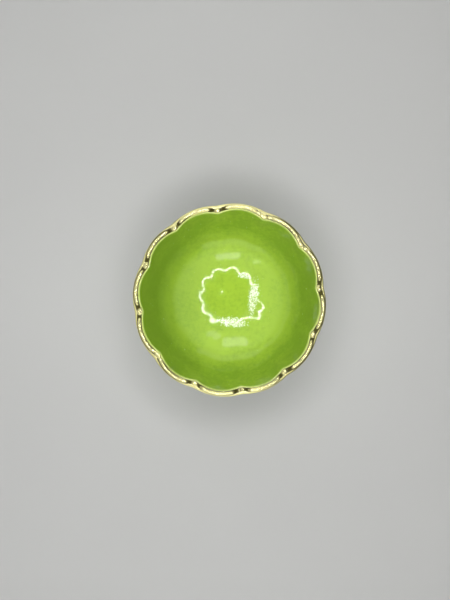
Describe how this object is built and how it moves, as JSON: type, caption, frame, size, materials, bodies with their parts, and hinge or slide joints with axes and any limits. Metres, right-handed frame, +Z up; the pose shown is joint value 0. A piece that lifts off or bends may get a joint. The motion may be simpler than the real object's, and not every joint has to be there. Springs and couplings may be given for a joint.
{
  "type": "footed bowl",
  "caption": "Small glazed ceramic bowl on a hollow pedestal foot, with fluted sides and a scalloped lip edged in raised gilt scrolls and oval beads.",
  "frame": {"origin": "on the table, under the middle of the foot's standing ring", "axes": "+Z up along the axis of the bowl; +X through the crest of a lobe; the notches of the lip and of the foot lie halfway between the lobes"},
  "size_m": [0.102, 0.102, 0.062],
  "materials": {
    "green_glaze": "glossy lime green glaze, paler where it thins over edges",
    "gilding": "bright burnished gilding over glazed relief, a little worn",
    "fired_slip": "matt fired slip"
  },
  "bodies": {
    "root": {"foot": "green_glaze", "foot_slip": "fired_slip", "neck_collar": "gilding", "bowl_slip": "fired_slip", "bowl": "green_glaze", "rim_scroll_01": "gilding", "rim_scroll_02": "gilding", "rim_scroll_03": "gilding", "rim_scroll_04": "gilding", "rim_scroll_05": "gilding", "rim_scroll_06": "gilding", "rim_scroll_07": "gilding", "rim_scroll_08": "gilding", "rim_scroll_09": "gilding", "rim_scroll_10": "gilding", "rim_scroll_11": "gilding", "rim_scroll_12": "gilding", "rim_bead_01": "gilding", "rim_bead_02": "gilding", "rim_bead_03": "gilding", "rim_bead_04": "gilding", "rim_bead_05": "gilding", "rim_bead_06": "gilding", "rim_bead_07": "gilding", "rim_bead_08": "gilding", "rim_bead_09": "gilding", "rim_bead_10": "gilding", "rim_bead_11": "gilding", "rim_bead_12": "gilding"}
  },
  "joints": []
}
